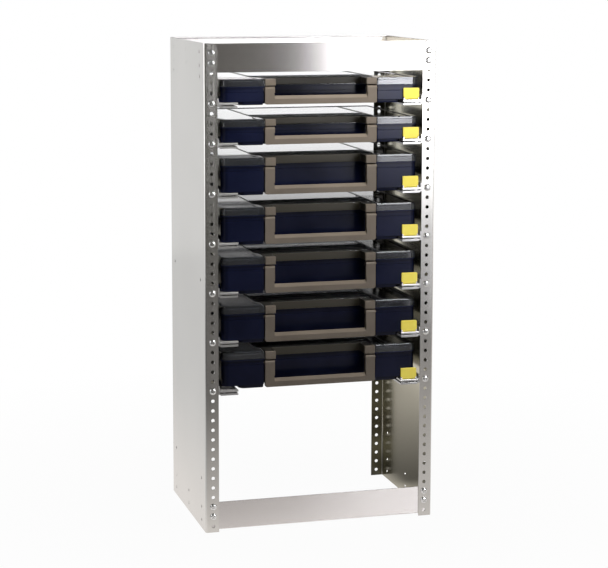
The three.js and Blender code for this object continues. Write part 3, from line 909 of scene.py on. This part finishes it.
# Trays
def tray_mesh(row, hole_z):
    """A tray around the height of its row's screw holes."""
    low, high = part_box(f"tray_{row}")
    front, back, outer = low[1], high[1], high[0]
    inner = ledge_inner()
    stop_low, stop_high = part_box(f"case_stop_{row}")
    lip_low, plate_low = tray_rise - tray_lip, tray_rise - sheet_thickness
    bm = bmesh.new()
    for side in (-1, 1):
        profile = rounded(sided(side, [
            (inner, lip_low, 0), (inner, tray_rise, fold_radius), (outer, tray_rise, 0),
            (outer, plate_low, 0), (inner + sheet_thickness, plate_low, 0),
            (inner + sheet_thickness, lip_low, 0),
        ]), fold_steps)
        add_prism(bm, profile, "Y", front + fold_radius, back)
        lip = rounded([
            (front, lip_low, 0), (front + sheet_thickness, lip_low, 0),
            (front + sheet_thickness, tray_rise - front_lip_drop, 0),
            (front, tray_rise - front_lip_drop, fold_radius),
        ], fold_steps)
        add_prism(bm, lip, "X", *mirrored(inner, outer, side))
        strip = mirrored(outer - strip_width, outer - strip_sink, side)
        add_block(bm, (strip[0], front + strip_setback, -ledge_drop),
                  (strip[1], back, tray_rise - strip_sink))
    web_front = back - sheet_thickness
    web = rounded([
        (web_front - web_foot, plate_low, 0), (back, plate_low, fold_radius),
        (back, tray_rise + web_height, 0), (web_front, tray_rise + web_height, 0),
        (web_front, tray_rise, web_corner),
        (web_front - web_foot, tray_rise, 0),
    ], fold_steps)
    add_prism(bm, web, "X", -outer, outer)
    lug_y = (stop_low[1] + stop_high[1]) / 2
    near, far = lug_y - lug_half, lug_y + lug_half
    lug = rounded([
        (near, tray_rise - tray_sink, 0), (far, tray_rise - tray_sink, 0),
        (far, tray_rise + lug_height, lug_corner), (near, tray_rise + lug_height, lug_corner),
    ], lug_steps)
    for left in (stop_low[0], stop_high[0] - lug_width):
        add_prism(bm, lug, "X", left, left + lug_width)
    pad_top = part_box(f"case_base_{row}")[0][2] + case_drop - hole_z
    if pad_top > tray_rise + least_pad:
        for side in (-1, 1):
            middle = side * (inner + outer) / 2
            add_block(bm, (middle - pad_half, front + pad_front, tray_rise - tray_sink),
                      (middle + pad_half, back - pad_back, pad_top))
    return raised(painted_shade_below(soften(mesh_from(bm, "tray"), formed_edge, 2, formed_edge_angle)), hole_z)


# Case stops
def stop_mesh(row):
    low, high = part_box(f"case_stop_{row}")
    left, right = low[0] + stop_neck, high[0] - stop_neck
    pivot_z = low[2] + barrel_radius
    blade_low = pivot_z + blade_rise
    face = rounded([
        (low[0], blade_low, blade_foot_corner), (left, blade_low, 0), (left, pivot_z, 0),
        (right, pivot_z, 0), (right, blade_low, 0), (high[0], blade_low, blade_foot_corner),
        (high[0], high[2], blade_corner), (low[0], high[2], blade_corner),
    ], fold_steps)
    blade = solid("stop", face, "Y", low[1], high[1])
    round_outline = circle(((low[1] + high[1]) / 2, pivot_z), barrel_radius, barrel_sides)
    barrel = solid("barrel", round_outline, "X", left, right)
    return soften(combined("stop", blade, [barrel], "UNION"), stop_edge, 3, moulded_angle)


# Case bases and lids are drawn as rings: a plan that follows a profile of insets and heights
def plan(half, inset, z, box_y):
    """The case seen from above, with the recess for the handle at its front."""
    front, back = box_y
    radius = max(case_corner - inset, least_corner)
    side_x, notch_x = half - inset, notch_half + inset
    near, notch_y, far = front + inset, front + recess_depth + inset, back - inset
    corners = [
        (-half + inset, near, radius), (-notch_x, near, notch_corner), (-notch_x, notch_y, notch_back_corner),
        (notch_x, notch_y, notch_back_corner), (notch_x, near, notch_corner), (side_x, near, radius),
        (side_x, far, radius), (-half + inset, far, radius),
    ]
    return [Vector((point.x, point.y, z)) for point in rounded(corners, moulded_steps)]


def profile_rings(profile, box_y):
    return [plan(half, inset, z, box_y) for half, inset, z in profile]


def add_knuckles(bm, z, leaf_z, y, outward):
    """The hinge knuckles of one half of the case, each with its leaf."""
    for side in (-1, 1):
        near = side * (case_half() - hinge_inset)
        far = near + outward * side * knuckle_length
        xs = (min(near, far), max(near, far))
        add_prism(bm, circle((y, z), knuckle_radius, knuckle_sides), "X", *xs)
        add_block(bm, (xs[0], y - leaf_width, min(z, leaf_z)), (xs[1], y, max(z, leaf_z)))


def hinge_y():
    return case_depths()[1] + rim_width + knuckle_radius + hinge_gap


def case_half():
    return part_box("case_lid_1")[1][0]


def case_depths():
    """The front and the back of the case's walls below its rim."""
    low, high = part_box("case_lid_1")
    return low[1] + rim_width, high[1] - 2 * knuckle_radius - hinge_gap - rim_width


def base_mesh(row):
    """A base with its bottom at zero height."""
    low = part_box(f"case_base_{row}")[0]
    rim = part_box(f"case_lid_{row}")[0][2] + knuckle_radius - low[2]
    main = case_half() - rim_width
    keel = ledge_inner() - keel_gap
    groove = rim - groove_drop
    rim_low = rim - rim_height
    # The wall's profile: each place is a half width, an inset and a height
    profile = [
        (keel, keel_setback + keel_edge, 0), (keel, keel_setback + keel_edge_inset, keel_edge_rise),
        (keel, keel_setback, keel_edge), (keel, keel_setback, case_drop - keel_flare_drop),
        (keel, keel_setback - keel_flare, case_drop), (main, step_edge_inset, case_drop),
        (main, step_edge_middle, case_drop + step_edge_rise), (main, 0, case_drop + step_edge),
        (main, 0, groove - groove_reach), (main, groove_depth, groove - groove_half),
        (main, groove_depth, groove + groove_half), (main, 0, groove + groove_reach),
        (main, 0, rim_low), (main, -rim_width + rim_edge_inset, rim_low),
        (main, -rim_width, rim_low + rim_edge), (main, -rim_width, rim - rim_edge),
        (main, -rim_width + rim_edge_inset, rim - rim_top_drop), (main, case_wall, rim - rim_top_drop),
        (main, case_wall, case_drop + case_wall), (keel, keel_setback + case_wall, case_drop + case_wall),
        (keel, keel_setback + case_wall, case_wall),
    ]
    bm = add_rings(bmesh.new(), profile_rings(profile, case_depths()))
    add_knuckles(bm, rim, rim_low, hinge_y(), 1)
    return mesh_from(bm, "base")


def lid_mesh():
    """A lid with its lower edge at zero height."""
    half = case_half() - rim_width
    top = lid_height
    out = -rim_width
    collar = out + lid_collar_inset
    shoulder = top - lid_collar_height
    # The wall's profile: each place is an inset and a height
    profile = [(half, inset, z) for inset, z in (
        (out + lid_panel_inset + lid_inner_overlap, top - case_wall), (collar + case_wall, top - case_wall),
        (collar + case_wall, shoulder - case_wall), (out + case_wall, shoulder - case_wall),
        (out + case_wall, lid_foot), (out + lid_foot_inset, lid_foot), (out, lid_foot_edge),
        (out, shoulder - shoulder_edge), (out + shoulder_edge, shoulder),
        (collar - collar_foot, shoulder), (collar, shoulder + collar_foot_rise),
        (collar, top - lid_edge), (collar + lid_edge_share * lid_edge, top - lid_edge_share * lid_edge),
        (collar + lid_edge, top), (out + lid_panel_inset - lid_panel_slope, top),
        (out + lid_panel_inset, top - lid_panel_depth),
    )]
    front, back = case_depths()
    bm = add_rings(bmesh.new(), profile_rings(profile, (front, back)))
    panel_front, panel_back = front + recess_depth + lid_panel_inset, back - lid_panel_inset
    window_back = lid_window_back(front)
    cuts = [((-lid_window_half, 0, 0), (1, 0, 0)), ((lid_window_half, 0, 0), (1, 0, 0)),
            ((0, window_back, 0), (0, 1, 0))]
    for point, direction in cuts:
        bmesh.ops.bisect_plane(bm, geom=[*bm.verts, *bm.edges, *bm.faces], plane_co=point, plane_no=direction)
    add_knuckles(bm, 0, rim_height, hinge_y(), -1)
    panel = top - lid_panel_depth - rib_sink
    for side in (-1, 1):
        middle = side * (lid_window_half + lid_rib)
        add_block(bm, (middle - lid_rib / 2, panel_front, panel), (middle + lid_rib / 2, panel_back, top))
    for side in (-1, 1):
        for step in (1, 2):
            x = side * (notch_half + step * grip_pitch)
            add_block(bm, (x - grip_width / 2, front - rim_width - grip_width / 2, grip_low),
                      (x + grip_width / 2, front - rim_width + grip_root, shoulder - grip_gap))
    for share in lid_cross_ribs:
        y = panel_front + share * (window_back - panel_front)
        add_block(bm, (-lid_window_half, y, panel), (lid_window_half, y + lid_rib, top))
    return mesh_from(bm, "lid")


def lid_window_back(front):
    return front + recess_depth + lid_window_depth


def set_window(mesh):
    """Gives the window behind the latch, on both faces of the wall, and the long ribs their own finish."""
    mesh.materials.append(materials["window"])
    floor_of_wall = max(vert.co.z for vert in mesh.vertices) - case_wall - window_depth_gap
    window_back = lid_window_back(case_depths()[0])
    for polygon in mesh.polygons:
        x, y, z = abs(polygon.center.x), polygon.center.y, polygon.center.z
        level = abs(polygon.normal.z) > level_share and z > floor_of_wall
        in_window = level and x < lid_window_half and y < window_back and polygon.area > window_least_area
        on_rib = z > floor_of_wall and abs(x - lid_window_half - lid_rib) < rib_reach * lid_rib
        if in_window or on_rib:
            polygon.material_index = 1


# Latches and handles
def latch_mesh(row):
    """A latch with its lower edge at zero height."""
    low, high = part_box(f"case_latch_{row}")
    half, front, back = high[0], low[1], high[1]
    inner, plate = half - latch_block, back - latch_plate
    outline = rounded([
        (-half, front, latch_corner), (-inner, front, latch_corner), (-inner, plate, latch_inner_corner),
        (inner, plate, latch_inner_corner), (inner, front, latch_corner), (half, front, latch_corner),
        (half, back, 0), (-half, back, 0),
    ], moulded_steps)
    block = solid("latch", outline, "Z", 0, high[2] - low[2])
    return soften(block, latch_edge, 2, moulded_angle)


def handle_mesh(row):
    """A handle with its lower edge at zero height."""
    low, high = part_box(f"case_handle_{row}")
    half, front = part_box(f"case_latch_{row}")[1][0], low[1]
    inner = half - handle_bar
    pivot = (front + eye_radius, high[2] - low[2] - eye_radius)
    bar_top = handle_bottom_bar
    face = rounded([
        (-half, 0, handle_corner), (half, 0, handle_corner), (half, pivot[1], 0), (inner, pivot[1], 0),
        (inner, bar_top, handle_inner_corner), (-inner, bar_top, handle_inner_corner),
        (-inner, pivot[1], 0), (-half, pivot[1], 0),
    ], moulded_steps)
    ring = solid("ring", face, "Y", front, front + handle_thickness)
    eye = circle(pivot, eye_radius, eye_sides)
    eyes = [solid("eye", eye, "X", x, x + handle_bar) for x in (-half, inner)]
    pin = circle(pivot, pin_radius, pin_sides)
    pins = [solid("pin", pin, "X", *xs) for xs in ((low[0], -half + pin_root), (half - pin_root, high[0]))]
    slope_front = front - slope_overrun
    slope = add_rings(bmesh.new(), [
        [(-half_width, slope_front, z_front), (half_width, slope_front, z_front),
         (half_width, front + slope_depth, z_back), (-half_width, front + slope_depth, z_back)]
        for half_width, z_front, z_back in (
            (inner, bar_top - slope_height * (1 + slope_overrun / slope_depth), bar_top),
            (inner + slope_width, bar_top + slope_height, bar_top + slope_height))
    ])
    whole = combined("handle", ring, eyes + pins, "UNION")
    whole = combined("handle", whole, [mesh_from(slope, "slope")], "DIFFERENCE")
    return soften(whole, handle_edge, 2, handle_angle)


# Screws
def screw_mesh():
    """A pan head with a cross recess, pointing forwards."""
    bm = bmesh.new()
    # Each ring has a share of the radius and a share of the height
    rings = []
    for width_share, height_share in screw_dome:
        outline = circle((0, 0), screw_radius * width_share, screw_sides)
        rings.append([Vector((x, -screw_height * height_share, z)) for x, z in outline])
    add_rings(bm, rings)
    head = mesh_from(bm, "head")
    slots = []
    for turn in (math.pi / 4, -math.pi / 4):
        bar = add_block(bmesh.new(), (-cross_length / 2, -screw_height - cross_rise, -cross_width / 2),
                        (cross_length / 2, -screw_height + cross_depth, cross_width / 2))
        slot = mesh_from(bar, "slot")
        slot.transform(Matrix.Rotation(turn, 4, "Y"))
        slots.append(slot)
    return soften(combined("screw", head, slots, "DIFFERENCE"), screw_edge, 1, moulded_angle)


def screw_places(side_y, rows_of_holes):
    heights = hole_heights()
    hole_x = cad_box[1][0] - hole_inset
    return [(x, side_y, heights[number - 1]) for x in (-hole_x, hole_x) for number in rows_of_holes]


def row_hole(row):
    """The number of the flange hole that a row hangs on."""
    middle = (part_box(f"runner_frame_{row}")[0][2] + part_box(f"runner_frame_{row}")[1][2]) / 2
    heights = hole_heights()
    return min(range(len(heights)), key=lambda index: abs(heights[index] - middle)) + 1


def screws():
    source = new_object("screw_source", screw_mesh())
    hung = [row_hole(row) for row in rows]
    count = len(hole_heights())
    meshes = []
    for y, numbers, turn in ((cad_box[0][1], [1, 2, *hung, count - 2, count - 1], 0),
                             (cad_box[1][1], [1, 2, *hung], math.pi)):
        points = bpy.data.meshes.new("points")
        places = [(math.cos(turn) * x, math.cos(turn) * y, z) for x, y, z in screw_places(y, numbers)]
        points.from_pydata(places, [], [])
        made = run_tree(points, fasten, {"Fastener": source, "Material": materials["screw"]})
        made.transform(Matrix.Rotation(turn, 4, "Z"))
        meshes.append(made)
    bpy.data.objects.remove(source)
    for name, mesh in zip(("front_screws", "back_screws"), meshes):
        make_piece(name, mesh, materials["screw"], "rack")


# Put the pieces together
def case_low(kind, row):
    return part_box(f"case_{kind}_{row}")[0][2]


def build_rack():
    side_panel("perforated_panel_left", "side_panel_left", -1)
    side_panel("perforated_panel_right", "side_panel_right", 1)
    rail("front_fascia", "top_fascia", 1, True)
    rail("rear_top_rail", "top_back_rail", -1, True)
    rail("front_plinth", "bottom_plinth", 1, False)
    screws()


def build_rows():
    lid = lid_mesh()
    runner = runner_frame_mesh()
    for row in rows:
        hole_z = hole_heights()[row_hole(row) - 1]
        unit = f"tray_unit_{row}"
        base = raised(base_mesh(row), case_low("base", row))
        raised_lid = raised(lid, case_low("lid", row) + knuckle_radius)
        latch = raised(latch_mesh(row), case_low("latch", row))
        handle = raised(handle_mesh(row), case_low("handle", row))
        for name, mesh, look, body, node, slot in (
            ("runner_sheets", raised(runner, hole_z), "zinc", "rack", "runner_frame", "zinc_steel"),
            ("tray_sheets", tray_mesh(row, hole_z), "zinc", unit, "tray", "zinc_steel"),
            ("stop_blade", stop_mesh(row), "yellow", f"stop_unit_{row}", "case_stop", "yellow_plastic"),
            ("case_body", base, "navy", unit, "case_base", "navy_plastic"),
            ("clear_lid", raised_lid, "clear", unit, "case_lid", "clear_plastic"),
            ("latch_piece", latch, "latch", unit, "case_latch", "taupe_plastic"),
            ("folding_handle", handle, "taupe", f"handle_unit_{row}", "case_handle", "taupe_plastic"),
        ):
            piece = make_piece(f"{name}_{row}", mesh, materials[look], body, [f"{node}_{row}"])
            if name == "clear_lid":
                set_window(piece.data)


build_rack()
build_rows()

# Camera: the photograph's viewing angle
image_width, image_height = 608, 568
camera_focal_px = 1844.5
camera_azimuth = math.radians(-15.64)
camera_elevation = math.radians(7.84)
camera_roll = math.radians(0.11)
camera_distance = 3.8839
camera_target = Vector((0.0009, 0, 0.6103))
camera_centre_px = (300.1, 220.9)
sensor_width = 36


def add_camera():
    data = bpy.data.cameras.new("camera")
    data.sensor_width = sensor_width
    data.lens = camera_focal_px / image_width * sensor_width
    data.shift_x = (image_width / 2 - camera_centre_px[0]) / image_width
    data.shift_y = (camera_centre_px[1] - image_height / 2) / image_width
    camera = bpy.data.objects.new("camera", data)
    bpy.context.scene.collection.objects.link(camera)
    back = Vector((math.sin(camera_azimuth) * math.cos(camera_elevation),
                   -math.cos(camera_azimuth) * math.cos(camera_elevation), math.sin(camera_elevation)))
    camera.location = camera_target + camera_distance * back
    turn = (-back).to_track_quat("-Z", "Y").to_matrix().to_4x4() @ Matrix.Rotation(camera_roll, 4, "Z")
    camera.rotation_euler = turn.to_euler()
    bpy.context.scene.camera = camera


# Floor, lamps and surroundings
floor_half = 3.5
floor_clear = (0.3, 1.4)
floor_near_glow = 0.97
floor_glow_colour = (1.0, 0.965, 0.94)
floor_colour = (0.17, 0.165, 0.155)
floor_roughness = 0.6
floor_bright, floor_dark = 1.02, 0.17
left_dim_y, left_dim_power = (-0.2, -1.35), 0.7
right_dim_y, right_dim_least = (-0.45, -2.4), 0.3
right_dim_x = (0.05, 0.4)
behind_y, behind_light = (0.12, 0.8), (0.12, 0.42)
under_y, under_middle, under_half = (-0.1, 0.1), 0.03, (0.17, 0.25)
beside_x, beside_light = (-0.5, -0.28), 0.78
gap_slant, gap_middle, gap_half = 0.285, 0.04, (0.22, 0.28)
gap_y, gap_depth = (0.8, 1.1), 0.85
white = (1.0, 1.0, 1.0)
cloth_colour = (0.97, 0.97, 1.0)
softbox_plane = -2.28
softbox_left, softbox_soft, softbox_right = 0.545, 0.82, 1.95
softbox_low, softbox_full, softbox_top = 0.0, 0.8, 2.1
softbox_radiance = 11.7
softbox_rise_power, softbox_across_power = 2.8, 1.85
softbox_edge = (0.95, 0.98)
softbox_edge_radiance = 1.2
side_light_x = -1.44
side_light_y = (-0.95, -0.34)
side_light_top = 1.5
side_light_radiance = 3.0
side_light_rise, side_light_least = (0.15, 0.7), 0.05
top_light_y = -0.12
top_light_z = (1.0, 1.3)
top_light_radiance = 7.0
backdrop_radiance = 1.22
side_backdrop_radiance = 0.74
backdrop_fade, backdrop_cut = (0.105, 0.15), 0.96
backdrop_y, backdrop_x = (-0.75, -0.2), (-0.2, 0.0)
diffuse_share = 0.05
room_radiance = 0.12
room_colour = (1.0, 0.98, 0.87)
key_place = Vector((0.2, -0.63, 1.77))
key_aim = Vector((0.0, -0.16, 0.75))
key_size = (0.8, 0.35)
key_power = 21.5
key_colour = (1.0, 0.985, 0.95)


def one_face(name, corners):
    bm = bmesh.new()
    bm.faces.new([bm.verts.new(corner) for corner in corners])
    return new_object(name, mesh_from(bm, name))


def mirrored_floor_light(tree, x, y):
    """How bright a mirror shows the floor, as painted light: painted shade in front of and beside the rack,
    and painted shadow under it and in a gap behind.
    """
    left_dim = math_node(tree, "POWER", ranged(tree, y, *left_dim_y), left_dim_power)
    right_dim = ranged(tree, y, *right_dim_y, right_dim_least)
    extra = times(tree, ranged(tree, x, *right_dim_x), minus(tree, right_dim, left_dim))
    open_light = ranged(tree, math_node(tree, "ADD", left_dim, extra), 0.0, 1.0, floor_bright, floor_dark)
    behind = ranged(tree, y, *behind_y, *behind_light)
    # Painted shadow under the rack
    off_middle = distance_from(tree, x, under_middle)
    under = times(tree, ranged(tree, y, *under_y), ranged(tree, off_middle, *under_half, 1.0, 0.0))
    light = math_node(tree, "ADD", open_light, times(tree, under, minus(tree, behind, open_light)))
    beside = ranged(tree, x, *beside_x, beside_light)
    # Painted shadow in a gap behind the rack
    off_gap = distance_from(tree, minus(tree, x, times(tree, y, gap_slant)), gap_middle)
    gap = times(tree, ranged(tree, y, *gap_y), ranged(tree, off_gap, *gap_half, gap_depth, 0.0))
    return times(tree, light, times(tree, beside, minus(tree, 1.0, gap)))


def glowing(tree, colour, strength):
    return add_node(tree, "ShaderNodeEmission", {"Color": colour, "Strength": strength}).outputs[0]


def add_floor():
    """A pale floor that looks white from the camera. In mirrors it glows with the painted light and shadow of
    mirrored_floor_light, tinted warm except far to the left.
    """
    floor = one_face("floor", [(-floor_half, -floor_half, 0), (floor_half, -floor_half, 0),
                               (floor_half, floor_half, 0), (-floor_half, floor_half, 0)])
    material, tree, shader, place = new_material("studio_floor")
    set_inputs(tree, shader, {"Base Color": (*floor_colour, 1), "Roughness": floor_roughness})
    axes = axes_of(tree, place)
    distance = add_node(tree, "ShaderNodeVectorMath", {0: place}, operation="LENGTH").outputs["Value"]
    far = ranged(tree, distance, *floor_clear, floor_near_glow)
    path = add_node(tree, "ShaderNodeLightPath").outputs
    camera, glossy = path["Is Camera Ray"], path["Is Glossy Ray"]
    mirrored_light = times(tree, mirrored_floor_light(tree, axes["X"], axes["Y"]), glossy)
    plain = math_node(tree, "MAXIMUM", camera, ranged(tree, axes["X"], *beside_x, 1.0, 0.0))
    glow = glowing(tree, blended(tree, plain, floor_glow_colour, white),
                   math_node(tree, "MAXIMUM", camera, mirrored_light))
    share = math_node(tree, "MAXIMUM", times(tree, far, camera), glossy)
    mix = add_node(tree, "ShaderNodeMixShader", {0: share, 1: shader.outputs[0], 2: glow})
    tree.links.new(mix.outputs[0], tree.nodes["Material Output"].inputs["Surface"])
    floor.data.materials.append(material)


def add_mirrored_cloth(name, first, second, low, high, fade):
    """A lit upright cloth between two places (x, y), which only the glossy pieces mirror.

    fade gives its strength from its place.
    """
    cloth = one_face(name, [(*first, low), (*second, low), (*second, high), (*first, high)])
    material, tree, _, place = new_material(name + "_cloth")
    glow = glowing(tree, (*cloth_colour, 1), fade(tree, axes_of(tree, place)))
    tree.links.new(glow, tree.nodes["Material Output"].inputs["Surface"])
    cloth.data.materials.append(material)
    cloth.visible_camera = False
    cloth.visible_diffuse = False
    cloth.visible_shadow = False


def softbox_fade(tree, axes):
    """Bright above and at the right, fading towards the lower and the left edge.

    Its right end keeps at least softbox_edge_radiance at every height.
    """
    rise = math_node(tree, "POWER", ranged(tree, axes["Z"], softbox_low, softbox_full), softbox_rise_power)
    across = math_node(tree, "POWER", ranged(tree, axes["X"], softbox_left, softbox_soft),
                       softbox_across_power)
    least = ranged(tree, axes["X"], *softbox_edge, 0.0, softbox_edge_radiance)
    return math_node(tree, "MAXIMUM", times(tree, times(tree, rise, across), softbox_radiance), least)


def side_light_fade(tree, axes):
    return ranged(tree, axes["Z"], *side_light_rise, side_light_least * side_light_radiance,
                  side_light_radiance)


def top_light_fade(tree, axes):
    return ranged(tree, axes["Z"], *top_light_z, top_light_radiance, 0.0)


def add_softboxes():
    add_mirrored_cloth("softbox", (softbox_left, softbox_plane), (softbox_right, softbox_plane),
                       softbox_low, softbox_top, softbox_fade)
    add_mirrored_cloth("side_light", (side_light_x, side_light_y[0]), (side_light_x, side_light_y[1]),
                       0, side_light_top, side_light_fade)
    half = cad_box[1][0]
    add_mirrored_cloth("top_light", (-half, top_light_y), (half, top_light_y), *top_light_z, top_light_fade)


def add_key():
    """The soft lamp above the front of the rack, which lights the plastic pieces."""
    data = bpy.data.lights.new("key", "AREA")
    data.shape = "RECTANGLE"
    data.size, data.size_y = key_size
    data.energy = key_power
    data.color = key_colour
    lamp = bpy.data.objects.new("key", data)
    lamp.location = key_place
    lamp.rotation_euler = (key_aim - key_place).to_track_quat("-Z", "Y").to_euler()
    lamp.visible_glossy = False
    bpy.context.scene.collection.objects.link(lamp)


def add_world():
    """White backdrops behind and beside the rack that end low down, and an unlit room in front of it."""
    world = bpy.data.worlds.new("studio")
    bpy.context.scene.world = world
    world.use_nodes = True
    tree = world.node_tree
    axes = axes_of(tree, add_node(tree, "ShaderNodeTexCoord").outputs["Generated"])
    behind = ranged(tree, axes["Y"], *backdrop_y)
    backdrop = ranged(tree, axes["X"], *backdrop_x, side_backdrop_radiance, backdrop_radiance)
    above = ranged(tree, axes["Z"], *backdrop_fade, 0.0, backdrop_cut)
    room = times(tree, math_node(tree, "ADD", times(tree, behind, backdrop), room_radiance),
                 minus(tree, 1.0, times(tree, behind, above)))
    path = add_node(tree, "ShaderNodeLightPath").outputs
    seen = path["Is Camera Ray"]
    dim = ranged(tree, path["Is Diffuse Ray"], 0.0, 1.0, 1.0, diffuse_share)
    unseen = times(tree, times(tree, room, dim), minus(tree, 1.0, seen))
    set_inputs(tree, tree.nodes["Background"], {
        "Strength": math_node(tree, "ADD", unseen, seen),
        "Color": blended(tree, math_node(tree, "MAXIMUM", behind, seen), room_colour, white),
    })


add_camera()
add_floor()
add_softboxes()
add_key()
add_world()
bpy.context.scene.view_settings.view_transform = "Standard"
